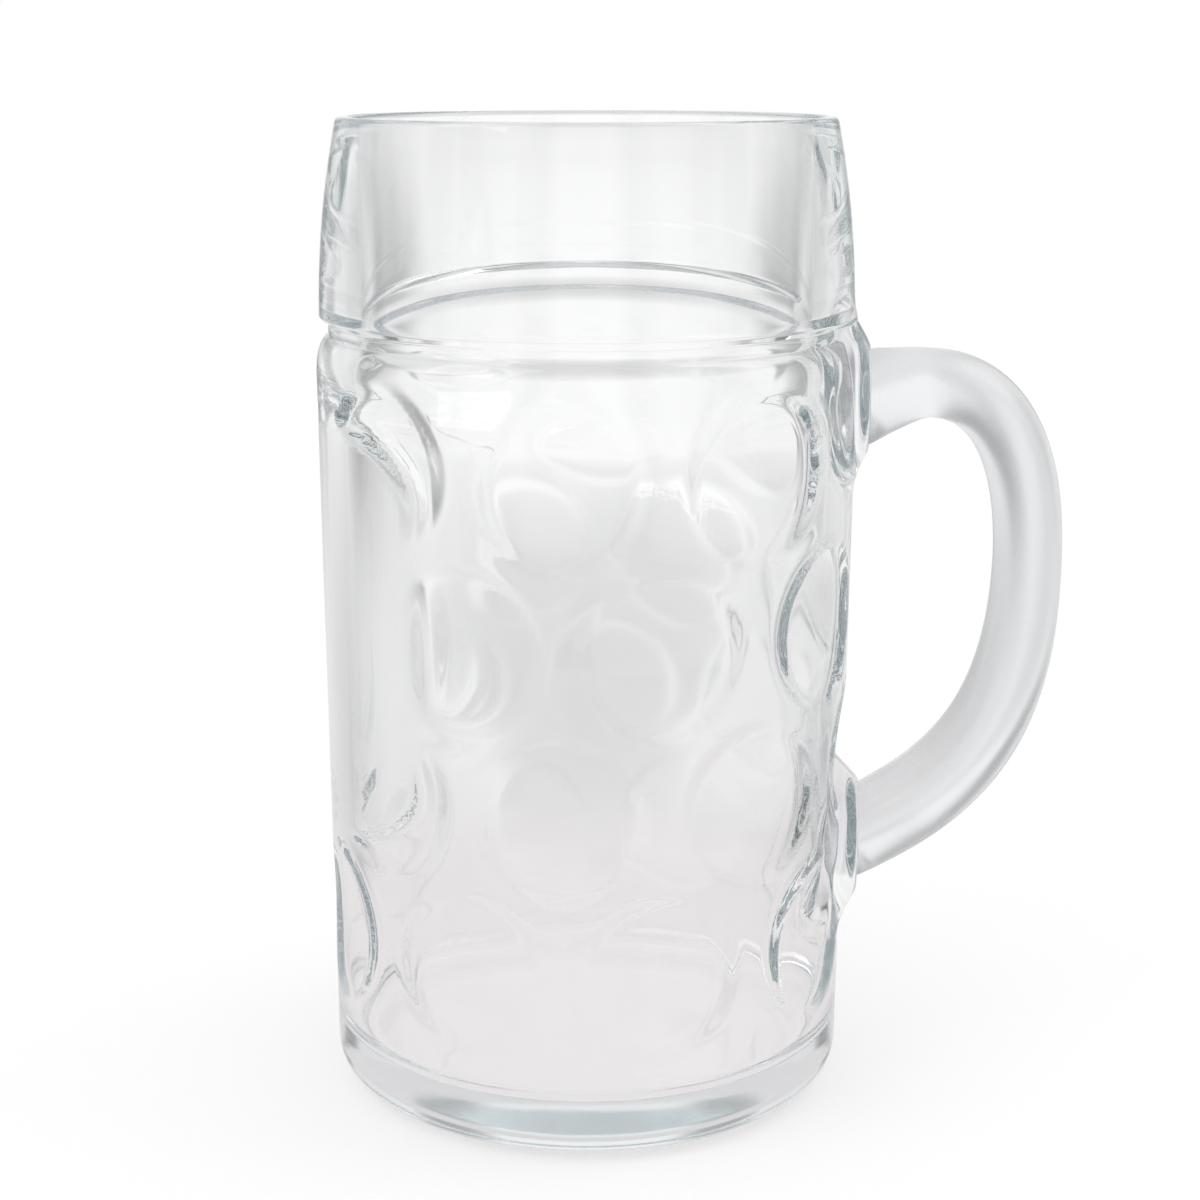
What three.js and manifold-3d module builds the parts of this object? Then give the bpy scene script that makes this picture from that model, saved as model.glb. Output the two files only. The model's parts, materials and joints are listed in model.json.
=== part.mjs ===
// A dimpled one-litre beer mug of clear pressed glass. It is two gathers of glass: the mug body with its
// plain collar, ring groove, rows of round dimples, label panel and handle bosses, and the C-shaped handle
// that is fused onto the two bosses. Millimetres, +Z up, the origin at the centre of the resting face, the
// handle along +X and the label panel opposite it.
import * as THREE from "three";
import { mergeVertices } from "three/addons/utils/BufferGeometryUtils.js";
import Module from "manifold-3d";

// Body, outside
const mugHeight = 200;
const bodyRadius = 54.8; // at the shoulder, the widest place
const bodyTaper = 1.1; // radius lost from the shoulder to the heel
const heelRadius = 7; // rounding between the wall and the resting face
const collarHeight = 39; // plain band for the lips, from its lower edge to the rim
const collarInset = 0.8; // collar's lower edge behind the shoulder
const rimInset = 4.2; // rim behind the collar's lower edge
const collarBarrel = 1; // swell of the collar's side beyond a straight cone
const collarEdge = 0.6; // rounding of the collar's lower edge
const collarUndercut = 1.2; // height of the slope from the collar's edge in to the groove
const grooveFlat = 2.4; // height of the groove's floor
const grooveDepth = 2.6; // behind the shoulder
const shoulderHeight = 3.9; // flare from the groove's floor out to the wall

// Body, inside
const lipThickness = 2.7; // glass at the rim
const lipRounding = 0.44; // rounding of the rim's two edges, in lip thicknesses
const bodyWall = 4.7; // glass between the dimples
const floorThickness = 10.7;
const floorFillet = 4.5; // rounding between the floor and the wall
const neckHeight = 16; // stretch in which the bore narrows from the body to the collar

// Dimples
const dimpleRows = 4;
const dimpleColumns = 8;
const dimpleRadius = 15.9;
const dimpleDepth = 3.2;
const bulgeRadius = 15.5; // swelling of the bore behind each dimple
const bulgeHeight = 1.9;
const topMargin = 3.1; // from the shoulder down to the first row's edge
const bottomMargin = 14.3; // from the heel's rounding up to the last row's edge
const columnSqueeze = 2; // degrees by which the columns crowd together on the two faces

// Label panel, left plain
const panelWidth = 90; // straight across
const panelHeight = 79.5;
const panelCorner = 13;
const panelDrop = 13; // from the shoulder down to its upper edge
const panelEdge = 3; // width of the slope from the panel down into a dimple

// Handle
const seatStandoff = 2.5; // boss faces beyond the shoulder
const handleReach = 97.2; // from the mug's axis to the handle's back
const upperSeatDrop = 9.1; // centre of the upper seat below the shoulder
const seatSpacing = 91.9; // between the centres of the two seats
const bellyDrop = 32.5; // from the upper seat down to where the handle stands furthest out
const headThickness = 17.4; // in the plane of the handle, at the upper seat
const gripThickness = 13.8; // the same, behind the fingers
const tailThickness = 17.5; // the same, at the lower seat
const handleDepth = 19.4; // across the hand
const seatDepth = 20.6; // the same, at both seats
const bossMargin = 0.6; // boss face around the handle's end
const lowerToe = 2; // boss face below the handle's lower end
const bossDraft = 1.6; // spread of a boss downwards to its root, per unit of its height
const bossFlank = 0.8; // the same, to each side
const upperBossRise = 1.6; // the same, up to the collar's edge
const lowerBossRise = 0.4; // the same, up from the lower boss

// Course of the handle, in shares of its span from the seats out to the belly
const crestReach = 0.55; // how far out its head is still rising
const crestRise = 0.27;
const backReach = 0.965; // how far up its back runs straight
const bellyReach = 0.976; // how far down
const tailReach = 0.682; // where its tail turns in towards the lower seat
const tailRise = 0.36;
const headShare = 0.09; // of its length, in which the head thins to the grip
const gripShare = 0.39; // where the grip begins to thicken
const tailShare = 0.886; // where it has the thickness of the tail

// Fineness of the curved surfaces
const wallSegments = 64;
const wallSteps = 27;
const boreSteps = 14;
const collarSteps = 6;
const arcSteps = 4;
const lipSteps = 2;
const handleSteps = 34;
const handleSegments = 18;
const bossSegments = 24;
const weldDistance = 1e-4;

// Look of the glass
const bodyColor = 0xe3e8e7;
const handleColor = 0xe6e9e8;
const glassRoughness = 0.03;
const glassOpacity = 0.35;

// Places that follow from the sizes
const collarZ = mugHeight - collarHeight;
const grooveTopZ = collarZ - collarUndercut;
const grooveFootZ = grooveTopZ - grooveFlat;
const shoulderZ = grooveFootZ - shoulderHeight;
const footRadius = bodyRadius - bodyTaper;
const collarRadius = bodyRadius - collarInset;
const rimRadius = collarRadius - rimInset;
const grooveRadius = bodyRadius - grooveDepth;
const mouthRadius = rimRadius - lipThickness;
const lipRadius = lipThickness * lipRounding;
const firstRowZ = shoulderZ - topMargin - dimpleRadius;
const lastRowZ = heelRadius + bottomMargin + dimpleRadius;
const rowPitch = (firstRowZ - lastRowZ) / Math.max(dimpleRows - 1, 1);
const panelZ = shoulderZ - panelDrop - panelHeight / 2;
const seatX = bodyRadius + seatStandoff;
const bellyX = handleReach - gripThickness / 2;
const handleSpan = bellyX - seatX;
const upperSeat = new THREE.Vector3(seatX, 0, shoulderZ - upperSeatDrop);
const lowerSeat = new THREE.Vector3(seatX, 0, upperSeat.z - seatSpacing);
const belly = new THREE.Vector3(bellyX, 0, upperSeat.z - bellyDrop);
const crest = new THREE.Vector3(seatX + crestReach * handleSpan, 0, upperSeat.z + crestRise * handleSpan);
const back = new THREE.Vector3(bellyX, 0, belly.z + backReach * handleSpan);
const waist = new THREE.Vector3(bellyX, 0, belly.z - bellyReach * handleSpan);
const tail = new THREE.Vector3(seatX + tailReach * handleSpan, 0, lowerSeat.z + tailRise * handleSpan);

const wasm = await Module();
wasm.setup();

// Outside radius of the tapered wall at a height.
function wallRadius(z) {
  return THREE.MathUtils.mapLinear(z, heelRadius, shoulderZ, footRadius, bodyRadius);
}

// Radius of the bore below the neck at a height.
function boreRadius(z) {
  return wallRadius(z) - bodyWall;
}

// A closed geometry as a solid that can be joined and cut.
function solid(geometry) {
  const bare = geometry.index ? geometry.toNonIndexed() : geometry;
  const positions = new THREE.BufferGeometry();
  positions.setAttribute("position", bare.getAttribute("position"));
  const merged = mergeVertices(positions, weldDistance);
  const mesh = new wasm.Mesh({
    numProp: 3,
    vertProperties: merged.attributes.position.array,
    triVerts: new Uint32Array(merged.index.array),
  });
  return new wasm.Manifold(mesh);
}

// A solid back as a geometry with flat normals.
function geometryOf(body) {
  const mesh = body.getMesh();
  const geometry = new THREE.BufferGeometry();
  geometry.setAttribute("position", new THREE.BufferAttribute(mesh.vertProperties, 3));
  geometry.setIndex(new THREE.BufferAttribute(mesh.triVerts, 1));
  const flat = geometry.toNonIndexed();
  flat.computeVertexNormals();
  return flat;
}

// Points of an arc in a profile, from one angle to another in degrees.
function arc(centreR, centreZ, radius, from, to, steps) {
  const points = [];
  for (let i = 0; i <= steps; i++) {
    const angle = THREE.MathUtils.degToRad(THREE.MathUtils.lerp(from, to, i / steps));
    points.push(new THREE.Vector2(centreR + radius * Math.cos(angle), centreZ + radius * Math.sin(angle)));
  }
  return points;
}

// Skin over a row of closed rings of points, with both ends capped.
function loft(rings) {
  const count = rings[0].length;
  const corners = [];
  const quad = (a, b, c, d) => corners.push(a, b, c, a, c, d);
  for (let i = 0; i + 1 < rings.length; i++) {
    for (let j = 0; j < count; j++) {
      const next = (j + 1) % count;
      quad(rings[i][j], rings[i][next], rings[i + 1][next], rings[i + 1][j]);
    }
  }
  const first = rings[0];
  const last = rings[rings.length - 1];
  for (let j = 1; j + 1 < count; j++) {
    corners.push(first[0], first[j + 1], first[j]);
    corners.push(last[0], last[j], last[j + 1]);
  }
  return new THREE.BufferGeometry().setFromPoints(corners);
}

// Angle of a column, counted in columns from the handle: the mould crowds them on its two faces.
function columnAngle(column) {
  const even = (column * 2 * Math.PI) / dimpleColumns;
  return even + THREE.MathUtils.degToRad(columnSqueeze) * Math.sin(2 * even);
}

// The places of the dimples: alternate rows are staggered by half a column, and the upper boss takes
// the place of the first row's dimple under the handle.
function dimplePlaces() {
  const places = [];
  for (let row = 0; row < dimpleRows; row++) {
    const stagger = (row % 2) / 2;
    for (let column = 0; column < dimpleColumns; column++) {
      const underBoss = row === 0 && column === 0;
      if (!underBoss) {
        places.push({ angle: columnAngle(column + stagger), z: firstRowZ - row * rowPitch });
      }
    }
  }
  return places;
}

const dimples = dimplePlaces();

// How far a place on the wall is inside the nearest dimple: 1 at its centre, 0 at its edge and beyond.
function dimpleShare(angle, z, radius) {
  let share = 0;
  for (const dimple of dimples) {
    const turn = THREE.MathUtils.euclideanModulo(angle - dimple.angle + Math.PI, 2 * Math.PI) - Math.PI;
    const distance = Math.hypot(turn * wallRadius(z), z - dimple.z);
    share = Math.max(share, 1 - (distance / radius) ** 2);
  }
  return share;
}

// 1 on the label panel, an upright rounded rectangle seen along +X, falling to 0 across its edge.
function panelShare(angle, z) {
  if (Math.cos(angle) > 0) {
    return 0;
  }
  const across = Math.abs(wallRadius(z) * Math.sin(angle)) - panelWidth / 2 + panelCorner;
  const upright = Math.abs(z - panelZ) - panelHeight / 2 + panelCorner;
  const beyond = Math.hypot(Math.max(across, 0), Math.max(upright, 0)) - panelCorner;
  const outside = beyond + Math.min(Math.max(across, upright), 0);
  return 1 - THREE.MathUtils.smoothstep(outside, 0, panelEdge);
}

// Outside of the mug from the resting face to the top of the rim.
function outerProfile() {
  const heel = arc(footRadius - heelRadius, heelRadius, heelRadius, -90, 0, arcSteps);
  const wall = [];
  for (let i = 1; i < wallSteps; i++) {
    const z = THREE.MathUtils.lerp(heelRadius, shoulderZ, i / wallSteps);
    wall.push(new THREE.Vector2(wallRadius(z), z));
  }
  const flareZ = (shoulderZ + grooveFootZ) / 2;
  const shoulder = new THREE.CubicBezierCurve(
    new THREE.Vector2(bodyRadius, shoulderZ),
    new THREE.Vector2(bodyRadius, flareZ),
    new THREE.Vector2(grooveRadius, flareZ),
    new THREE.Vector2(grooveRadius, grooveFootZ),
  ).getPoints(arcSteps);
  const side = new THREE.QuadraticBezierCurve(
    new THREE.Vector2(collarRadius, collarZ + collarEdge),
    new THREE.Vector2((collarRadius + rimRadius) / 2 + 2 * collarBarrel, (collarZ + mugHeight) / 2),
    new THREE.Vector2(rimRadius, mugHeight - lipRadius),
  ).getPoints(collarSteps);
  return [
    new THREE.Vector2(0, 0),
    ...heel,
    ...wall,
    ...shoulder,
    new THREE.Vector2(grooveRadius, grooveTopZ),
    new THREE.Vector2(collarRadius - collarEdge, collarZ),
    ...side,
    ...arc(rimRadius - lipRadius, mugHeight - lipRadius, lipRadius, 45, 90, 1),
  ];
}

// Inside of the mug from the top of the rim down the collar, neck and wall to the middle of the floor.
function boreProfile() {
  const wallFoot = floorThickness + floorFillet;
  const neckZ = collarZ - neckHeight;
  const wall = [];
  for (let i = 0; i < boreSteps; i++) {
    const z = THREE.MathUtils.lerp(neckZ, wallFoot, i / boreSteps);
    wall.push(new THREE.Vector2(boreRadius(z), z));
  }
  return [
    ...arc(mouthRadius + lipRadius, mugHeight - lipRadius, lipRadius, 90, 180, lipSteps),
    new THREE.Vector2(mouthRadius, collarZ),
    ...wall,
    ...arc(boreRadius(wallFoot) - floorFillet, wallFoot, floorFillet, 0, -90, arcSteps),
    new THREE.Vector2(0, floorThickness),
  ];
}

// The mug without its bosses: both profiles turned as one, with the dimples pressed into the outside
// and the swellings behind them raised on the inside.
function dimpledForm() {
  const outside = outerProfile();
  const profile = [...outside, ...boreProfile()];
  const geometry = new THREE.LatheGeometry(profile, wallSegments).rotateX(Math.PI / 2);
  const places = geometry.getAttribute("position");
  for (let i = 0; i < places.count; i++) {
    const angle = Math.atan2(places.getY(i), places.getX(i));
    const z = places.getZ(i);
    const radius = Math.hypot(places.getX(i), places.getY(i));
    const isOutside = i % profile.length < outside.length;
    const relief = isOutside
      ? dimpleDepth * dimpleShare(angle, z, dimpleRadius)
      : bulgeHeight * dimpleShare(angle, z, bulgeRadius) ** 2;
    const reach = radius - relief * (1 - panelShare(angle, z));
    places.setXY(i, reach * Math.cos(angle), reach * Math.sin(angle));
  }
  return solid(geometry);
}

// An ellipse of points across +X at a place along the axis.
function ellipseAcross(x, z, halfHeight, halfDepth) {
  const points = [];
  for (let i = 0; i < bossSegments; i++) {
    const angle = (i / bossSegments) * 2 * Math.PI;
    points.push(new THREE.Vector3(x, halfDepth * Math.cos(angle), z + halfHeight * Math.sin(angle)));
  }
  return points;
}

// Moulded pad with a flat face for one end of the handle. It is rooted in the glass of the wall and
// spreads sideways, down and up towards its root.
function boss(seat, next, thickness, toe, rise) {
  const slant = next.clone().sub(seat).normalize();
  const halfHeight = thickness / slant.x / 2 + bossMargin + toe / 2;
  const halfDepth = seatDepth / 2 + bossMargin;
  const faceZ = seat.z - toe / 2;
  const rootRadius = wallRadius(faceZ) - (bodyWall + dimpleDepth) / 2;
  const startX = rootRadius - bodyWall;
  const depth = seatX - startX;
  const raised = ((rise - bossDraft) * depth) / 2;
  const heightened = ((rise + bossDraft) * depth) / 2;
  const pad = loft([
    ellipseAcross(startX, faceZ + raised, halfHeight + heightened, halfDepth + bossFlank * depth),
    ellipseAcross(seatX, faceZ, halfHeight, halfDepth),
  ]);
  const core = new THREE.CylinderGeometry(rootRadius, rootRadius, mugHeight, wallSegments);
  core.rotateX(Math.PI / 2).translate(0, 0, faceZ);
  return solid(pad).subtract(solid(core));
}

// A place before a seat, inside its boss, on the straight line that the handle arrives along.
function insideBoss(seat, next) {
  const overrun = seatStandoff + bodyWall;
  return seat.clone().addScaledVector(seat.clone().sub(next).normalize(), overrun);
}

// Middle line of the handle in the XZ plane, from inside the upper boss to inside the lower one.
function handleLine() {
  const line = new THREE.CurvePath();
  line.add(new THREE.LineCurve3(insideBoss(upperSeat, crest), upperSeat));
  line.add(new THREE.CubicBezierCurve3(upperSeat, crest, back, belly));
  line.add(new THREE.CubicBezierCurve3(belly, waist, tail, lowerSeat));
  line.add(new THREE.LineCurve3(lowerSeat, insideBoss(lowerSeat, tail)));
  return line;
}

// Handle: oval sections along the middle line, thicker at both seats, cut flat where it meets the bosses.
function handleForm() {
  const line = handleLine();
  const seatShare = line.curves[0].getLength() / line.getLength();
  const rings = [];
  for (let i = 0; i <= handleSteps; i++) {
    const share = i / handleSteps;
    const centre = line.getPointAt(share);
    const along = line.getTangentAt(share);
    const across = new THREE.Vector3(-along.z, 0, along.x);
    const headed = 1 - THREE.MathUtils.smoothstep(share, seatShare, seatShare + headShare);
    const tailed = THREE.MathUtils.smoothstep(share, gripShare, tailShare);
    const head = headed * (headThickness - gripThickness);
    const thickness = gripThickness + head + tailed * (tailThickness - gripThickness);
    const seated = THREE.MathUtils.smoothstep(Math.abs(2 * share - 1), tailShare, 1 - seatShare);
    const depth = THREE.MathUtils.lerp(handleDepth, seatDepth, seated);
    const ring = [];
    for (let j = 0; j < handleSegments; j++) {
      const angle = (j / handleSegments) * 2 * Math.PI;
      const point = centre.clone().addScaledVector(across, (thickness / 2) * Math.cos(angle));
      point.y -= (depth / 2) * Math.sin(angle);
      ring.push(point);
    }
    rings.push(ring);
  }
  const room = handleReach + gripThickness;
  const beyondSeats = new THREE.BoxGeometry(room, room, 2 * mugHeight).translate(seatX + room / 2, 0, 0);
  return solid(loft(rings)).intersect(solid(beyondSeats));
}

function mugBodyForm() {
  const upperBoss = boss(upperSeat, crest, headThickness, 0, upperBossRise);
  const lowerBoss = boss(lowerSeat, tail, tailThickness, lowerToe, lowerBossRise);
  return dimpledForm().add(upperBoss).add(lowerBoss);
}

function glass(color) {
  return new THREE.MeshStandardMaterial({
    color,
    roughness: glassRoughness,
    metalness: 0,
    transparent: true,
    opacity: glassOpacity,
  });
}

const mug = new THREE.Group();
mug.name = "beer_mug";

const mugBody = new THREE.Mesh(geometryOf(mugBodyForm()), glass(bodyColor));
mugBody.name = "mug_body";
mug.add(mugBody);

const handle = new THREE.Mesh(geometryOf(handleForm()), glass(handleColor));
handle.name = "handle";
mug.add(handle);

export default mug;
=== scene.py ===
# %% [markdown]
# # A dimpled glass beer mug
#
# A one-litre mug of clear pressed glass: a thick dimpled body with a plain collar for the lips, and a handle
# that was laid on hot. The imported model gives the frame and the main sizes. This lesson replaces its coarse
# facets by smooth glass, and sets it in a plain studio where glass can be seen: clear glass has no colour of
# its own, so it shows only what it bends and mirrors.

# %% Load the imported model
import json
import math

import bpy
import numpy as np
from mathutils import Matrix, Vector

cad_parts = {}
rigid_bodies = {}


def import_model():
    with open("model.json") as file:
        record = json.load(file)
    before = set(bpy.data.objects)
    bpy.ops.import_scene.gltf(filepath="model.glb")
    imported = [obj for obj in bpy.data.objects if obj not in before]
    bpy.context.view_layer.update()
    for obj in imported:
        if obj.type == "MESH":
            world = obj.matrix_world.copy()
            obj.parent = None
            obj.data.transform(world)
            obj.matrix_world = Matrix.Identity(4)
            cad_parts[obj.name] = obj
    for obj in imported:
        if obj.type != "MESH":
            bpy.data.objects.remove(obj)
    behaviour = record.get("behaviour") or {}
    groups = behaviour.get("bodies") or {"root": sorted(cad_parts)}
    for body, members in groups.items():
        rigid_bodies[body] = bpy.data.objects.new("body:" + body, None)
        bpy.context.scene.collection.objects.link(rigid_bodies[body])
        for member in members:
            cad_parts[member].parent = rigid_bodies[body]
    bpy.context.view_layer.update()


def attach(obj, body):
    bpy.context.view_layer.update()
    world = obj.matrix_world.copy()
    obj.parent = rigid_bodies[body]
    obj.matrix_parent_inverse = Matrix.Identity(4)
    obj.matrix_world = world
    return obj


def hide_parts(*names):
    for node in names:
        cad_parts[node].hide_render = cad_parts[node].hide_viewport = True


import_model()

# %% [markdown]
# ## The camera
#
# A product photographer stands close, a little above the rim and almost square to the handle, so that the
# handle shows in profile. The lens and place were worked out from the ellipses of the rim and base, which
# fix how far away and how high the camera was. A small shift puts the mug's axis left of the middle and
# leaves room for the handle.

# %% The camera
MM = 0.001
CAMERA_AZIMUTH = math.radians(5)
CAMERA_PITCH = math.radians(13.53)
CAMERA_DISTANCE = 457 * MM
CAMERA_HEIGHT = 211 * MM
NEAREST_SEEN = 10 * MM
SENSOR_WIDTH = 36  # the sensor and the lens are in millimetres, as on a real camera
LENS = 67.5
SIDE_SHIFT = 0.011  # of the picture's width

camera_data = bpy.data.cameras.new("camera")
camera_data.sensor_width = SENSOR_WIDTH
camera_data.lens = LENS
camera_data.shift_x = SIDE_SHIFT
camera_data.clip_start = NEAREST_SEEN
camera = bpy.data.objects.new("camera", camera_data)
camera.location = (
    CAMERA_DISTANCE * math.sin(CAMERA_AZIMUTH),
    -CAMERA_DISTANCE * math.cos(CAMERA_AZIMUTH),
    CAMERA_HEIGHT,
)
camera.rotation_euler = (math.pi / 2 - CAMERA_PITCH, 0, CAMERA_AZIMUTH)
bpy.context.collection.objects.link(camera)
bpy.context.scene.camera = camera
print("camera at", [round(v, 4) for v in camera.location])

# %% [markdown]
# ## Sizes of the body
#
# They are in millimetres and repeat the sizes of the solids. Where a later cell departs from the solids, its
# comment says so. The outside is a turned shape: resting face, rounded heel, a wall that widens a little, a
# shoulder, a ring groove, and a collar that leans in to the rim.

# %% Sizes of the body
MUG_HEIGHT = 200
BODY_RADIUS = 54.8
FOOT_RADIUS = 53.7
HEEL_RADIUS = 7
SHOULDER_Z = 153.5
GROOVE_RADIUS = 52.2
GROOVE_FOOT_Z = 157.4
GROOVE_TOP_Z = 159.8
COLLAR_Z = 161
COLLAR_RADIUS = 54
RIM_RADIUS = 49.8
COLLAR_BARREL = 1
LIP_RADIUS = 1.19
MOUTH_RADIUS = 47.1
BODY_WALL = 4.7


def wall_radius(z):
    """Outside radius of the tapered wall at a height."""
    share = (z - HEEL_RADIUS) / (SHOULDER_Z - HEEL_RADIUS)
    return FOOT_RADIUS + (BODY_RADIUS - FOOT_RADIUS) * share


def smooth(value, low, high):
    """0 below low, 1 above high, and an even S between them."""
    share = np.clip((value - low) / (high - low), 0, 1)
    return share * share * (3 - 2 * share)


print("wall radius at the heel and shoulder:", wall_radius(HEEL_RADIUS), wall_radius(SHOULDER_Z))

# %% [markdown]
# ## The turned profile
#
# Pressed glass has no sharp edge: the flame that finishes it melts every corner round. A helper takes corners
# with a radius each and returns a line with arcs in their place, which keeps the rim, the groove and the heel
# soft. A second helper fills long stretches with points, because the dimples need a fine net to be pressed
# into. A spin or a screw modifier would give the same turned form, but not the relief.

# %% Helpers for lines
ARC_STEPS = 7


def rounded(corners):
    """A line through corners (r, z, radius), with an arc in place of each corner that has a radius."""
    points = [np.array(corners[0][:2], float)]
    for before, here, after in zip(corners, corners[1:], corners[2:]):
        corner = np.array(here[:2], float)
        back = np.array(before[:2]) - corner
        ahead = np.array(after[:2]) - corner
        back = back / np.linalg.norm(back)
        ahead = ahead / np.linalg.norm(ahead)
        half = math.acos(np.clip(back @ ahead, -1, 1)) / 2
        reach = here[2] / math.tan(half)
        middle = (back + ahead) / np.linalg.norm(back + ahead)
        centre = corner + middle * here[2] / math.sin(half)
        start, end = corner + back * reach - centre, corner + ahead * reach - centre
        sweep = math.atan2(start[0] * end[1] - start[1] * end[0], start @ end)
        for step in range(ARC_STEPS + 1):
            turn = sweep * step / ARC_STEPS
            cos, sin = math.cos(turn), math.sin(turn)
            points.append(centre + (start[0] * cos - start[1] * sin, start[0] * sin + start[1] * cos))
    points.append(np.array(corners[-1][:2], float))
    return points


def filled(points, gap):
    """The same line with extra points, so that no step is longer than gap."""
    line = [points[0]]
    for a, b in zip(points, points[1:]):
        count = max(1, math.ceil(np.linalg.norm(b - a) / gap))
        line += [a + (b - a) * step / count for step in range(1, count + 1)]
    return line


def bezier(corners, count):
    """Points along one Bezier curve."""
    t = np.linspace(0, 1, count)[:, None]
    a, b, c, d = (np.array(corner) for corner in corners)
    return (1 - t) ** 3 * a + 3 * (1 - t) ** 2 * t * b + 3 * (1 - t) * t**2 * c + t**3 * d


print("steps in an arc:", ARC_STEPS)

# %% The outside
FINE = 1.15  # longest step of the profile where it carries relief
COARSE = 4  # and where it is plain
# The wall bends in to the groove in a softer flare than the solids have. Its guides are radius and height.
FLARE_START_Z = 149
FLARE_GUIDES = ((54.9, 153.4), (53.9, 156.4))
FLARE_POINTS = 14
GROOVE_ROUND = 0.5
COLLAR_EDGE_ROUND = 0.7
COLLAR_POINTS = 18
COLLAR_STRETCH = (0.1, 0.9)  # shares of the collar's side between its two roundings
EDGE_SHARE, LIP_SHARE = 0.05, 0.92  # where the lower rounding ends and the lip's begins
LIP_DEPTH = 4  # to which the lip's line runs down inside the mouth


def collar_side(share):
    """A place on the collar's outside, from its lower edge at 0 to the rim at 1: a barrel, not a cone."""
    middle = (COLLAR_RADIUS + RIM_RADIUS) / 2 + 2 * COLLAR_BARREL
    low, high = (1 - share) ** 2, share**2
    radius = low * COLLAR_RADIUS + 2 * share * (1 - share) * middle + high * RIM_RADIUS
    return radius, COLLAR_Z + share * (MUG_HEIGHT - COLLAR_Z)


heel_top = (wall_radius(HEEL_RADIUS * 2), HEEL_RADIUS * 2, 0)
foot = rounded([(0, 0, 0), (FOOT_RADIUS, 0, HEEL_RADIUS), heel_top])
flare = ((wall_radius(FLARE_START_Z), FLARE_START_Z), *FLARE_GUIDES, (GROOVE_RADIUS, GROOVE_FOOT_Z))
groove = rounded(
    [
        (GROOVE_RADIUS, GROOVE_FOOT_Z, 0),
        (GROOVE_RADIUS, GROOVE_TOP_Z, GROOVE_ROUND),
        (COLLAR_RADIUS, COLLAR_Z, COLLAR_EDGE_ROUND),
        (*collar_side(EDGE_SHARE), 0),
    ]
)
shoulder = list(bezier(flare, FLARE_POINTS)) + groove[1:]
collar = [np.array(collar_side(share)) for share in np.linspace(*COLLAR_STRETCH, COLLAR_POINTS)]
lip = rounded(
    [
        (*collar_side(LIP_SHARE), 0),
        (RIM_RADIUS, MUG_HEIGHT, LIP_RADIUS),
        (MOUTH_RADIUS, MUG_HEIGHT, LIP_RADIUS),
        (MOUTH_RADIUS, MUG_HEIGHT - LIP_DEPTH, 0),
    ]
)
outside = filled(foot, COARSE)[:-1] + filled([foot[-1], shoulder[0]], FINE) + shoulder[1:] + collar
print("outside profile:", len(outside), "points, lip:", len(lip))

# %% [markdown]
# ## The bore
#
# Inside, the plunger of the press leaves a plain bore. It is narrower behind the collar than in the body, so
# the glass of the collar is a wedge, thin at the rim and thick at the groove: that wedge lifts and doubles
# the far side of the groove in the picture. The wedge is longer here than in the solids, because that bends
# light more as the real glass does. At the bottom a small round leads into a flat floor.

# %% The bore
MEDIUM = 1.35  # longest step of the bore where it carries relief
BORE_DEPTH = 6  # of its first ring, below the rim
FLOOR_THICKNESS = 10.7
FLOOR_FILLET = 4.5
NECK_HEIGHT = 22  # stretch in which the bore narrows from the body to the collar
NECK_TAPER = 1.3  # radius lost from the mouth to the collar's lower edge
FLOOR_RADIUS = wall_radius(FLOOR_THICKNESS) - BODY_WALL
FILLET_TOP_Z = FLOOR_THICKNESS + 2 * FLOOR_FILLET
NECK_LOW_Z = COLLAR_Z - NECK_HEIGHT


def bore_radius(z):
    """Radius of the bore at a height, with the soft step at the neck."""
    body = wall_radius(z) - BODY_WALL
    neck = MOUTH_RADIUS - NECK_TAPER * min(1, (MUG_HEIGHT - z) / (MUG_HEIGHT - COLLAR_Z))
    return body + (neck - body) * smooth(z, NECK_LOW_Z, COLLAR_Z)


floor_line = rounded(
    [
        (bore_radius(FILLET_TOP_Z), FILLET_TOP_Z, 0),
        (FLOOR_RADIUS, FLOOR_THICKNESS, FLOOR_FILLET),
        (0, FLOOR_THICKNESS, 0),
    ]
)
collar_heights = np.arange(MUG_HEIGHT - BORE_DEPTH, COLLAR_Z, -COARSE)
body_heights = np.arange(COLLAR_Z, FILLET_TOP_Z, -MEDIUM)
bore_heights = np.concatenate([collar_heights, body_heights])
bore = [np.array((bore_radius(z), z)) for z in bore_heights]
inside = bore + filled(floor_line, COARSE)
print("bore profile:", len(inside), "points")

# %% [markdown]
# ## Dimples, label panel and bosses
#
# The dimples lie in four rows, each row shifted by half a step against the next, and they crowd a little on
# the two faces of the mould. Each is a shallow bowl with a rounded lip. The glass behind it swells into the
# bore almost as far, so the wall keeps its thickness, and a dimple bends light only a little: it shows as a
# ring at its lip. On the side away from the handle the mould has a plain panel for a label, which cuts off
# the dimples at its edge. Where the handle was laid on, the mould has two bosses with flat faces, whose
# flanks spread into the wall so that the hot glass could leave the mould. All of this is relief: at each
# place of the wall it moves the surface in or out, so a height map over angle and height holds it, with no
# cutting and no seams.

# %% Dimples
DIMPLE_RADIUS = 15.9
DIMPLE_DEPTH = 3.2
DIMPLE_LIP = 0.12
BULGE_RADIUS = 15.9  # the swelling of the bore behind each dimple, fuller than in the solids
BULGE_HEIGHT = 3.0
BULGE_LIP = 0.18
COLUMNS = 8
COLUMN_SQUEEZE = math.radians(2)
ROW_Z = (134.5, 102.07, 69.63, 37.2)


def dimple_places():
    """Angle and height of every dimple; the upper boss takes the place of one in the first row."""
    places = []
    for row, z in enumerate(ROW_Z):
        for column in range(COLUMNS):
            even = (column + row % 2 / 2) * 2 * math.pi / COLUMNS
            if row or column:
                places.append((even + COLUMN_SQUEEZE * math.sin(2 * even), z))
    return places


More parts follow.
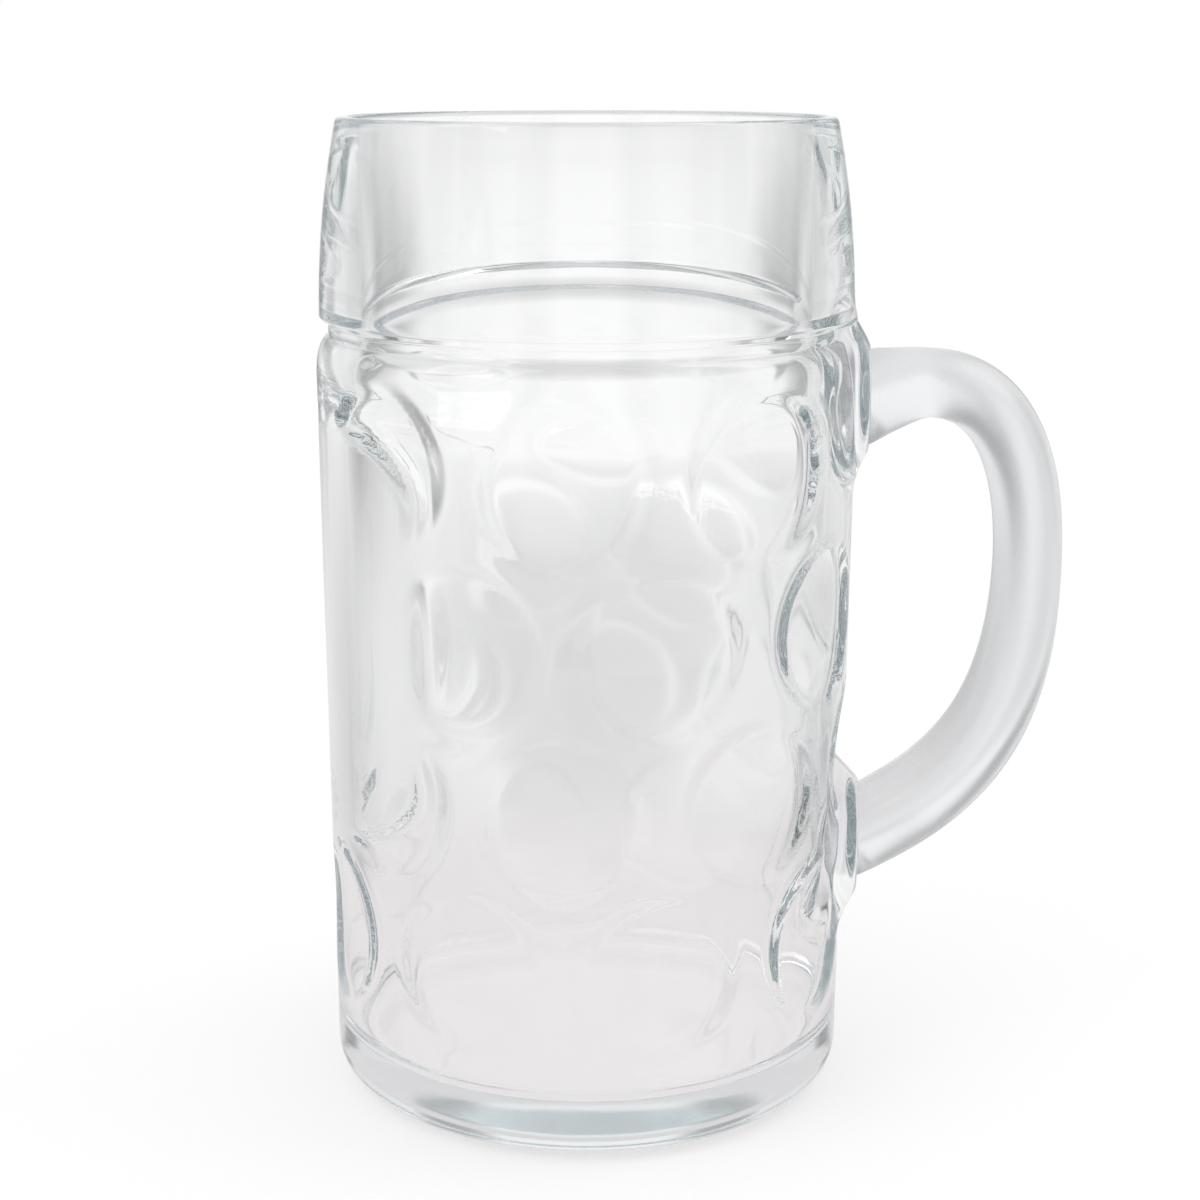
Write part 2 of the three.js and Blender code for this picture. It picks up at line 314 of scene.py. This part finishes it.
def dimple_share(angle, z, radius):
    """1 at the centre of a dimple, 0 at its edge, below 0 beyond it."""
    share = np.full(np.broadcast(angle, z).shape, -np.inf)
    for place, height in dimple_places():
        turn = (angle - place + math.pi) % (2 * math.pi) - math.pi
        away = np.hypot(turn * wall_radius(height), z - height)
        share = np.maximum(share, 1 - (away / radius) ** 2)
    return share


def bowl(share, lip):
    """Depth of a dimple from its share: a bowl that rounds over at its lip."""
    lip_part = np.clip(share + lip, 0, 2 * lip) ** 2 / (4 * lip)
    return np.where(share > lip, share, lip_part)


print("dimples:", len(dimple_places()))

# %% The label panel
PANEL_WIDTH = 90
PANEL_HEIGHT = 79.5
PANEL_CORNER = 13
PANEL_Z = 100.75
PANEL_EDGE = 3


def panel_share(angle, z):
    """1 on the panel, an upright rounded rectangle seen along the handle's axis, and 0 off it."""
    across = np.abs(wall_radius(z) * np.sin(angle)) - PANEL_WIDTH / 2 + PANEL_CORNER
    upright = np.abs(z - PANEL_Z) - PANEL_HEIGHT / 2 + PANEL_CORNER
    beyond = np.hypot(np.maximum(across, 0), np.maximum(upright, 0)) - PANEL_CORNER
    outside_by = beyond + np.minimum(np.maximum(across, upright), 0)
    return np.where(np.cos(angle) < 0, 1 - smooth(outside_by, 0, PANEL_EDGE), 0)


print("panel from z", PANEL_Z - PANEL_HEIGHT / 2, "to", PANEL_Z + PANEL_HEIGHT / 2)

# %% The bosses
SEAT_X = 57.3
BOSS_FLANK = 1.1
BOSS_ROUND = 0.8
BOSS_BLEND = 2.5
BOSS_DEEP = 14
BOSS_HALVINGS = 14  # steps of the search for a boss's surface, each twice as close as the last
LEAST_COSINE = 0.1  # keeps the division sound on the side away from the handle, which is dropped
# Centre height, half height and half depth of each flat face, then its spread up and down to the wall. The
# feet of the bosses spread a little wider than in the solids, and end in a fillet.
BOSSES = (
    (144.4, 10.3, 10.9, 1.6, 1.6),
    (51.5, 11.5, 10.9, 1.0, 1.6),
)


def boss_radius(angle, z, centre, half_height, half_depth, spread_up, spread_down):
    """Radius of a boss's surface over the wall: a flat face with flanks that spread towards the wall."""
    y = SEAT_X * np.sin(angle)
    low = np.zeros(np.broadcast(angle, z).shape)
    high = np.full(low.shape, float(BOSS_DEEP))
    for _ in range(BOSS_HALVINGS):
        drop = (low + high) / 2
        tall = half_height + (spread_up + spread_down) / 2 * drop
        wide = half_depth + BOSS_FLANK * drop
        middle = centre + (spread_up - spread_down) / 2 * drop
        within = (y / wide) ** 2 + ((z - middle) / tall) ** 2 < 1
        low, high = np.where(within, low, drop), np.where(within, drop, high)
    drop = high * high / (high + BOSS_ROUND)
    reached = (high < BOSS_DEEP) & (np.cos(angle) > 0)
    return np.where(reached, (SEAT_X - drop) / np.maximum(np.cos(angle), LEAST_COSINE), 0)


def joined(a, b):
    """The larger of two radii, with a soft fillet where they meet."""
    share = np.clip(0.5 + (a - b) / (2 * BOSS_BLEND), 0, 1)
    return b + (a - b) * share + BOSS_BLEND * share * (1 - share)


print("boss faces at x", SEAT_X)

# %% [markdown]
# ## The body's mesh
#
# The profile is swept round in columns, and each point is moved by the relief on its way. One closed skin
# runs from the middle of the underside up the outside, over the rim and down to the middle of the floor, so
# that light enters and leaves real glass. A grid like this has clean quads that shade smoothly, which bends
# light evenly; cut and joined solids would leave slivers that show as scratches in glass. The columns stand
# closer at the bosses, whose edges are the sharpest.

# %% Helpers for meshes


def mesh_object(name, points, faces):
    """A smooth closed mesh object from points in millimetres."""
    mesh = bpy.data.meshes.new(name)
    mesh.from_pydata([tuple(point) for point in np.asarray(points) * MM], [], faces)
    mesh.validate()
    mesh.polygons.foreach_set("use_smooth", [True] * len(mesh.polygons))
    piece = bpy.data.objects.new(name, mesh)
    bpy.context.collection.objects.link(piece)
    return piece


def net(rows, columns):
    """Quads between rings of points, ring after ring."""
    faces = []
    for row in range(rows - 1):
        for column in range(columns):
            after = (column + 1) % columns
            low, high = row * columns, (row + 1) * columns
            faces.append((low + column, low + after, high + after, high + column))
    return faces


def fan(pole, ring, columns, outward):
    """Triangles from a pole to a ring."""
    edges = [(ring + column, ring + (column + 1) % columns) for column in range(columns)]
    return [(pole, b, a) if outward else (pole, a, b) for a, b in edges]


print("faces of a small net:", net(2, 3))

# %% The body's relief
PLAIN_COLUMNS = 220
BOSS_COLUMNS = 72
BOSS_SECTOR = math.radians(23)

angles = np.concatenate(
    [
        np.linspace(-BOSS_SECTOR, BOSS_SECTOR, BOSS_COLUMNS, endpoint=False),
        np.linspace(BOSS_SECTOR, 2 * math.pi - BOSS_SECTOR, PLAIN_COLUMNS, endpoint=False),
    ]
)
around = angles[None, :]
profile_out = np.array(outside[1:] + lip[1:])
z_out = profile_out[:, 1:]
pressed = DIMPLE_DEPTH * bowl(dimple_share(around, z_out, DIMPLE_RADIUS), DIMPLE_LIP)
radius_out = profile_out[:, :1] - pressed * (1 - panel_share(around, z_out))
for boss in BOSSES:
    radius_out = joined(boss_radius(around, z_out, *boss), radius_out)
profile_in = np.array(inside[:-1])
z_in = profile_in[:, 1:]
swell = BULGE_HEIGHT * bowl(dimple_share(around, z_in, BULGE_RADIUS), BULGE_LIP)
radius_in = profile_in[:, :1] - swell * (1 - panel_share(around, z_in))
print("deepest dimple:", round(pressed.max(), 2), "mm, fullest swelling:", round(swell.max(), 2), "mm")

# %% The body's mesh
radii = np.vstack([radius_out, radius_in])
heights = np.broadcast_to(np.vstack([z_out, z_in]), radii.shape)
grid = np.stack([radii * np.cos(angles), radii * np.sin(angles), heights], axis=2)
ring_count, column_count = radii.shape
points = np.vstack([grid.reshape(-1, 3), [(0, 0, 0), (0, 0, FLOOR_THICKNESS)]])
faces = net(ring_count, column_count)
faces += fan(ring_count * column_count, 0, column_count, True)
faces += fan(ring_count * column_count + 1, (ring_count - 1) * column_count, column_count, False)
body = mesh_object("mug_body_glass", points, faces)
print("body:", ring_count, "rings,", len(body.data.polygons), "faces")

# %% [markdown]
# ## The handle
#
# The second gather of glass was drawn into a rod and pressed onto both bosses while it was soft. It leaves
# the upper boss with a thick head, thins behind the fingers and thickens again towards its tail. A curve with
# a bevel could follow that line, but oval rings along it give the thickness at every place, and let the two
# ends turn into the plane of the boss faces. Each end reaches a hair into its boss, as fused glass does:
# with a film of air between them, the joint would mirror like a silver coin.

# %% The handle's course
HANDLE_REACH = 97.2
UPPER_SEAT_Z = 144.4
LOWER_SEAT_Z = 52.5
BELLY_DROP = 32.5
GRIP_THICKNESS = 13.8
CREST_REACH, CREST_RISE = 0.55, 0.27  # shares of the handle's span out from the seats, as for all of these
BACK_REACH = 0.965
WAIST_REACH = 0.976
TAIL_REACH, TAIL_RISE = 0.682, 0.36
COURSE_POINTS = 300

belly_x = HANDLE_REACH - GRIP_THICKNESS / 2
span = belly_x - SEAT_X
belly_z = UPPER_SEAT_Z - BELLY_DROP
upper_part = (
    (SEAT_X, UPPER_SEAT_Z),
    (SEAT_X + CREST_REACH * span, UPPER_SEAT_Z + CREST_RISE * span),
    (belly_x, belly_z + BACK_REACH * span),
    (belly_x, belly_z),
)
lower_part = (
    (belly_x, belly_z),
    (belly_x, belly_z - WAIST_REACH * span),
    (SEAT_X + TAIL_REACH * span, LOWER_SEAT_Z + TAIL_RISE * span),
    (SEAT_X, LOWER_SEAT_Z),
)
line = np.vstack([bezier(upper_part, COURSE_POINTS)[:-1], bezier(lower_part, COURSE_POINTS)])
along = np.concatenate([[0], np.cumsum(np.linalg.norm(np.diff(line, axis=0), axis=1))])
handle_length = along[-1]
print("handle's middle line:", round(handle_length, 1), "mm")

# %% The handle's thickness
HANDLE_RINGS = 180
HEAD_THICKNESS = 17.4
TAIL_THICKNESS = 17.5
HANDLE_DEPTH = 19.4
SEAT_DEPTH = 20.6
HEAD_LENGTH = 14
GRIP_END = 53
TAIL_START = 128
SEAT_TURN = 9

stations = np.linspace(0, handle_length, HANDLE_RINGS)
thick = (
    GRIP_THICKNESS
    + (HEAD_THICKNESS - GRIP_THICKNESS) * (1 - smooth(stations, 0, HEAD_LENGTH))
    + (TAIL_THICKNESS - GRIP_THICKNESS) * smooth(stations, GRIP_END, TAIL_START)
)
to_seat = np.minimum(stations, handle_length - stations)
depth = HANDLE_DEPTH + (SEAT_DEPTH - HANDLE_DEPTH) * (1 - smooth(to_seat, 0, HEAD_LENGTH))
seated = 1 - smooth(to_seat, 0, SEAT_TURN)
print("handle from", round(thick.min(), 1), "to", round(thick.max(), 1), "mm thick")

# %% The handle's rings
HANDLE_COLUMNS = 64
SEAT_OVERLAP = 0.25

centres = np.stack([np.interp(stations, along, line[:, axis]) for axis in (0, 1)], axis=1)
tangents = np.gradient(line, along, axis=0)
tangents = np.stack([np.interp(stations, along, tangents[:, axis]) for axis in (0, 1)], axis=1)
tangents /= np.linalg.norm(tangents, axis=1)[:, None]
handle_points = []
for centre, tangent, thickness, deep, turn in zip(centres, tangents, thick, depth, seated):
    for step in range(HANDLE_COLUMNS):
        angle = 2 * math.pi * step / HANDLE_COLUMNS
        offset = thickness / 2 * math.cos(angle) * np.array((-tangent[1], tangent[0]))
        slide = -turn * offset[0] / tangent[0] if turn else 0
        x, z = centre + offset + tangent * slide
        handle_points.append((x, -deep / 2 * math.sin(angle), z))
handle_points = np.array(handle_points)
handle_points[:HANDLE_COLUMNS, 0] -= SEAT_OVERLAP
handle_points[-HANDLE_COLUMNS:, 0] -= SEAT_OVERLAP
ends = []
for centre, tangent in ((centres[0], -tangents[0]), (centres[-1], tangents[-1])):
    x, z = centre + tangent * SEAT_OVERLAP / abs(tangent[0])
    ends.append((x, 0, z))
print("handle's rings:", HANDLE_RINGS, "with", HANDLE_COLUMNS, "points each")

# %% The handle's mesh
SHARP_EDGE = math.radians(40)

last_ring = (HANDLE_RINGS - 1) * HANDLE_COLUMNS
handle_faces = net(HANDLE_RINGS, HANDLE_COLUMNS)
handle_faces += fan(HANDLE_RINGS * HANDLE_COLUMNS, 0, HANDLE_COLUMNS, True)
handle_faces += fan(HANDLE_RINGS * HANDLE_COLUMNS + 1, last_ring, HANDLE_COLUMNS, False)
handle = mesh_object("handle_glass", np.vstack([handle_points, ends]), handle_faces)
handle.data.set_sharp_from_angle(angle=SHARP_EDGE)
print("handle:", len(handle.data.polygons), "faces")

# %% [markdown]
# ## Materials
#
# One function turns a colour as it is read off a screen into the linear values that light needs, and one adds
# a node with its settings and links. Every material is built from these two.

# %% Helpers for materials


def linear(code):
    """A colour such as "E3E8E7" as linear red, green, blue and alpha."""
    parts = [int(code[i : i + 2], 16) / 255 for i in (0, 2, 4)]
    return (*(v / 12.92 if v <= 0.04045 else ((v + 0.055) / 1.055) ** 2.4 for v in parts), 1)


def add(tree, kind, inputs=None, **settings):
    """Adds one node. An input is a value, or a pair of a node and the name of its output."""
    made = tree.nodes.new(kind)
    for name, value in settings.items():
        setattr(made, name, value)
    for name, value in (inputs or {}).items():
        if isinstance(value, tuple) and isinstance(value[0], bpy.types.Node):
            tree.links.new(value[0].outputs[value[1]], made.inputs[name])
        else:
            made.inputs[name].default_value = value
    return made


def new_material(name):
    """An empty node material and its tree."""
    material = bpy.data.materials.new(name)
    material.use_nodes = True
    material.node_tree.nodes.clear()
    return material, material.node_tree


WHITE = linear("FFFFFF")
print("white in linear light:", WHITE)

# %% [markdown]
# ## Pressed soda-lime glass
#
# Soda-lime glass is clear with a trace of green from the iron in its sand, seen only where light runs through
# a lot of it. Its index of refraction is about 1.52. Pressing leaves waves a couple of centimetres long in
# the surface, and the flame polish leaves a fine skin on them; both are too shallow to see as shape, and show
# only as a slight wobble in what lies behind. The resting face is dulled by years of tables. The handle was
# drawn in the open air and laid on last, so it and its seats keep a satin skin, which blurs what lies behind
# into a soft grey.

# %% Pressed soda-lime glass
GLASS_IOR = 1.52
IRON_TINT = "CCD8DB"
IRON_DENSITY = 4.0  # per metre of glass
SCUFF_HEIGHT = 0.8
SCUFF_ROUGHNESS = 0.065
SEAT_EDGE_X = 55.2
SEAT_ROUGHNESS = 0.15
WAVE_RANGE = (0.3, 0.7)  # most of the noise lies between these


def glass_material(name, tint, wave_mm, wave_deep_mm, stretch, smoothest, dullest):
    """Clear soda-lime glass with waves of a real length and depth, drawn out along Z, and a skin on them."""
    material, tree = new_material(name)
    place = add(tree, "ShaderNodeTexCoord")
    drawn = add(tree, "ShaderNodeMapping", {"Vector": (place, "Object"), "Scale": (1, 1, 1 / stretch)})
    noise = {"Vector": (drawn, "Vector"), "Scale": 1 / (wave_mm * MM), "Detail": 2.0, "Roughness": 0.35}
    waves = add(tree, "ShaderNodeTexNoise", noise)
    swells = {"Height": (waves, "Fac"), "Distance": wave_deep_mm * MM, "Strength": 1.0}
    bump = add(tree, "ShaderNodeBump", swells)
    split = add(tree, "ShaderNodeSeparateXYZ", {"Vector": (place, "Object")})
    skins = []
    for value, low, high, at_low, at_high in (
        ((split, "Z"), 0.0, SCUFF_HEIGHT * MM, SCUFF_ROUGHNESS, 0.0),
        ((split, "X"), SEAT_EDGE_X * MM, SEAT_X * MM, 0.0, SEAT_ROUGHNESS),
        ((waves, "Fac"), *WAVE_RANGE, smoothest, dullest),
    ):
        ramp = {"Value": value, "From Min": low, "From Max": high, "To Min": at_low, "To Max": at_high}
        skins.append((add(tree, "ShaderNodeMapRange", ramp), "Result"))
    scuffs, seats, skin = skins
    worn = add(tree, "ShaderNodeMath", {0: scuffs, 1: seats}, operation="MAXIMUM")
    rough = add(tree, "ShaderNodeMath", {0: (worn, "Value"), 1: skin}, operation="MAXIMUM")
    glass = add(
        tree,
        "ShaderNodeBsdfPrincipled",
        {
            "Base Color": linear(tint),
            "Roughness": (rough, "Value"),
            "IOR": GLASS_IOR,
            "Transmission Weight": 1.0,
            "Normal": (bump, "Normal"),
        },
    )
    iron = add(tree, "ShaderNodeVolumeAbsorption", {"Color": linear(IRON_TINT), "Density": IRON_DENSITY})
    add(tree, "ShaderNodeOutputMaterial", {"Surface": (glass, "BSDF"), "Volume": (iron, "Volume")})
    return material


# Clear and bright: it bends the room into pale and dark streaks, with a faint cold grey in the thick base.
pressed_glass = glass_material(
    "pressed_soda_lime_glass",
    "FFFFFF",
    wave_mm=16,
    wave_deep_mm=0.03,
    stretch=1,
    smoothest=0.0,
    dullest=0.012,
)
# The same glass with a satin skin: soft and milky, darker at its edges, with no sharp image in it.
drawn_glass = glass_material(
    "drawn_soda_lime_glass",
    "F9FAFB",
    wave_mm=9,
    wave_deep_mm=0.03,
    stretch=5,
    smoothest=0.17,
    dullest=0.32,
)
body.data.materials.append(pressed_glass)
handle.data.materials.append(drawn_glass)
print("materials:", [piece.data.materials[0].name for piece in (body, handle)])

# %% [markdown]
# ## Fit the pieces to the frame
#
# Both pieces are made in the imported model's own frame, so neither is moved. Each rides on the mug's only
# body and hides the coarse solid that it stands for.

# %% Fit the pieces to the frame
for piece, node_name, slot_name in ((body, "mug_body", "body_glass"), (handle, "handle", "handle_glass")):
    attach(piece, "root")
    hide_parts(node_name)
print("replaced:", [piece.name for piece in (body, handle)])

# %% [markdown]
# ## The studio
#
# A pale floor and a white room. What the camera sees directly is plain white, and the floor keeps the mug's
# shadow. Clear glass in an all-white room would vanish, because everything it bends and mirrors would be the
# same white. So glass sees a room with eight tall windows and darker walls between them, darkest at the two
# sides of the mug. The windows stand every 45 degrees, so that one is behind the mug from the camera and from
# each side, and the gaps draw the edges of the glass. On the floor that glass sees, a shadow of the mug is
# painted in as a glow, which gives the dimples something to bend: before and behind the mug the painted shade
# lies towards the windows, and at its two sides between them. Far out a painted reflection of the windows
# glows on the floor. Two large softboxes overhead cast the real shadow that the camera sees.

# %% Window light
WINDOWS = 8
# An edge is given in waves, -1 in the middle of a gap and 1 in the middle of a window. A light is given at
# the two sides of the mug, then before and behind it.
WINDOW_EDGE = (-1.0, -0.1)
GAP_LIGHT = (0.08, 0.5)
WINDOW_LIGHT = (0.72, 1.0)
# The painted shade on the floor that glass sees: the waves over which it fades, then its painted brightness
# between the windows and before them
PAINTED_SHADE_EDGE = (-0.2, 1.0)
PAINTED_GAP_FLOOR = (0.5, 0.9)
PAINTED_WINDOW_FLOOR = (0.71, 0.71)


def room_light(tree, direction, edge, low, high):
    """Brightness by compass direction, repeated for each window, as a node and the name of its output."""
    compass = add(tree, "ShaderNodeTexGradient", {"Vector": direction}, gradient_type="RADIAL")
    facing = WINDOWS * (math.pi / 2 + CAMERA_AZIMUTH + math.pi)
    round_trip = {0: (compass, "Fac"), 1: WINDOWS * 2 * math.pi, 2: -facing}
    turn = add(tree, "ShaderNodeMath", round_trip, operation="MULTIPLY_ADD")
    wave = add(tree, "ShaderNodeMath", {0: (turn, "Value")}, operation="COSINE")
    twice = add(tree, "ShaderNodeMath", {0: (turn, "Value"), 1: 2 / WINDOWS}, operation="MULTIPLY")
    sides = add(tree, "ShaderNodeMath", {0: (twice, "Value")}, operation="COSINE")
    levels = []
    for aside, ahead in (low, high):
        ramp = {"Value": (sides, "Value"), "From Min": -1.0, "From Max": 1.0}
        ramp.update({"To Min": aside, "To Max": ahead})
        levels.append((add(tree, "ShaderNodeMapRange", ramp), "Result"))
    ramp = {"Value": (wave, "Value"), "From Min": edge[0], "From Max": edge[1]}
    ramp.update({"To Min": levels[0], "To Max": levels[1]})
    return add(tree, "ShaderNodeMapRange", ramp, interpolation_type="SMOOTHSTEP"), "Result"


print("windows:", WINDOWS)

# %% The floor
FLOOR_SIZE = 12
FLOOR_GAP = 0.2 * MM  # below the mug, so that glass and floor don't share a plane

half_floor = FLOOR_SIZE / 2
corners = [(x * half_floor, y * half_floor, 0) for x, y in ((-1, -1), (1, -1), (1, 1), (-1, 1))]
floor_mesh = bpy.data.meshes.new("studio_floor")
floor_mesh.from_pydata(corners, [], [(0, 1, 2, 3)])
floor = bpy.data.objects.new("studio_floor", floor_mesh)
floor.location.z = -FLOOR_GAP
bpy.context.collection.objects.link(floor)
print("floor:", FLOOR_SIZE, "m square")

# %% The floor that the camera sees
PAINT = "B4B2B2"
PAINT_GLOW = 0.59
WHITE_FADE = (0.07, 0.22)  # each fade is given in metres from the mug's axis
# From here out the floor that glass sees carries a painted shadow of the mug
PAINTED_SHADE_FADE = (0.08, 0.26)
# From here out the floor that glass sees glows with a painted reflection of the windows
PAINTED_REFLECTION_FADE = (0.32, 1.0)

# Matt and pale: it takes the mug's soft shadow and fades into the white of the room.
paint, tree = new_material("pale_floor_paint")
spot = add(tree, "ShaderNodeTexCoord")
away = add(tree, "ShaderNodeVectorMath", {0: (spot, "Object")}, operation="LENGTH")
fades = []
for near_by, far_off in (WHITE_FADE, PAINTED_SHADE_FADE, PAINTED_REFLECTION_FADE):
    ramp = {"Value": (away, "Value"), "From Min": near_by, "From Max": far_off}
    fades.append((add(tree, "ShaderNodeMapRange", ramp, interpolation_type="SMOOTHSTEP"), "Result"))
to_white, to_painted_shade, to_painted_reflection = fades
matt = add(tree, "ShaderNodeBsdfDiffuse", {"Color": linear(PAINT)})
glow = add(tree, "ShaderNodeEmission", {"Color": WHITE, "Strength": PAINT_GLOW})
near = add(tree, "ShaderNodeAddShader", {0: (matt, "BSDF"), 1: (glow, "Emission")})
far = add(tree, "ShaderNodeEmission", {"Color": WHITE, "Strength": 1.0})
seen = add(tree, "ShaderNodeMixShader", {0: to_white, 1: (near, "Shader"), 2: (far, "Emission")})
print("the floor turns white", WHITE_FADE[1], "m from the mug")

# %% The floor that glass sees, with painted shade and a painted reflection
BARE_PAINT = "FBF7F8"
BARE_LIGHT = 0.84

bare = add(tree, "ShaderNodeEmission", {"Color": linear(BARE_PAINT), "Strength": BARE_LIGHT})
# A painted shadow of the mug, as glow: before and behind the mug it lies towards the windows, at its two
# sides between them
shade = room_light(tree, (spot, "Object"), PAINTED_SHADE_EDGE, PAINTED_GAP_FLOOR, PAINTED_WINDOW_FLOOR)
painted_shade_glow = add(tree, "ShaderNodeEmission", {"Color": WHITE, "Strength": shade})
table = add(tree, "ShaderNodeMixShader", {0: to_painted_shade, 1: (bare, "Emission"), 2: (painted_shade_glow, "Emission")})
# Far out the floor glows with a painted reflection of the windows
painted_window_reflection = room_light(tree, (spot, "Object"), WINDOW_EDGE, GAP_LIGHT, WINDOW_LIGHT)
painted_reflection_glow = add(tree, "ShaderNodeEmission", {"Color": WHITE, "Strength": painted_window_reflection})
bent = add(tree, "ShaderNodeMixShader", {0: to_painted_reflection, 1: (table, "Shader"), 2: (painted_reflection_glow, "Emission")})
path = add(tree, "ShaderNodeLightPath")
scattered = {0: (path, "Is Diffuse Ray"), 1: (bent, "Shader"), 2: (matt, "BSDF")}
unseen = add(tree, "ShaderNodeMixShader", scattered)
straight = {0: (path, "Is Camera Ray"), 1: (unseen, "Shader"), 2: (seen, "Shader")}
shown = add(tree, "ShaderNodeMixShader", straight)
add(tree, "ShaderNodeOutputMaterial", {"Surface": (shown, "Shader")})
floor_mesh.materials.append(paint)
print("floor paint:", paint.name, "with", len(tree.nodes), "nodes")

# %% The white room
DAYLIGHT = "F4F6F7"
DAYLIGHT_STRENGTH = 0.9

world = bpy.data.worlds.new("white_room")
bpy.context.scene.world = world
world.use_nodes = True
tree = world.node_tree
tree.nodes.clear()
way = add(tree, "ShaderNodeTexCoord")
plain_white = add(tree, "ShaderNodeBackground", {"Color": WHITE, "Strength": 1.0})
daylight = {"Color": linear(DAYLIGHT), "Strength": DAYLIGHT_STRENGTH}
even_light = add(tree, "ShaderNodeBackground", daylight)
windows = room_light(tree, (way, "Generated"), WINDOW_EDGE, GAP_LIGHT, WINDOW_LIGHT)
room = add(tree, "ShaderNodeBackground", {"Color": WHITE, "Strength": windows})
path = add(tree, "ShaderNodeLightPath")
scattered = {0: (path, "Is Diffuse Ray"), 1: (room, "Background"), 2: (even_light, "Background")}
unseen = add(tree, "ShaderNodeMixShader", scattered)
straight = {0: (path, "Is Camera Ray"), 1: (unseen, "Shader"), 2: (plain_white, "Background")}
shown = add(tree, "ShaderNodeMixShader", straight)
add(tree, "ShaderNodeOutputWorld", {"Surface": (shown, "Shader")})
print("world:", world.name)

# %% The lamps
LAMP_AIM = Vector((0, 0, 0.1))
LAMPS = (  # place, size and power of two large softboxes
    ((-0.7, -0.6, 1.0), 0.8, 3.0),
    ((0.8, 0.2, 1.1), 0.8, 2.5),
)
for number, (place, size, power) in enumerate(LAMPS):
    lamp_data = bpy.data.lights.new(f"softbox_{number}", "AREA")
    lamp_data.size = size
    lamp_data.energy = power
    lamp = bpy.data.objects.new(f"softbox_{number}", lamp_data)
    lamp.location = place
    lamp.rotation_euler = (LAMP_AIM - lamp.location).to_track_quat("-Z", "Y").to_euler()
    lamp.visible_camera = False
    bpy.context.collection.objects.link(lamp)
print("softboxes:", len(LAMPS))

# %% [markdown]
# ## Light inside the glass
#
# Light that enters the thick wall is mirrored many times between its two skins before it gets out again.
# Blender follows only a few mirrorings by default and then gives up, which leaves black patches in the
# dimples and the bosses. A higher limit lets the light find its way out, as it does in real glass, and what
# has run through a lot of glass comes out in its cold grey.

# %% Light inside the glass
GLASS_BOUNCES = 128

light_paths = bpy.context.scene.cycles
light_paths.max_bounces = GLASS_BOUNCES
light_paths.glossy_bounces = GLASS_BOUNCES
light_paths.transmission_bounces = GLASS_BOUNCES
print("bounces followed:", light_paths.max_bounces)

# %% [markdown]
# ## Picture settings
#
# The Standard view shows a colour about as it is written.

# %% Picture settings
bpy.context.scene.view_settings.view_transform = "Standard"
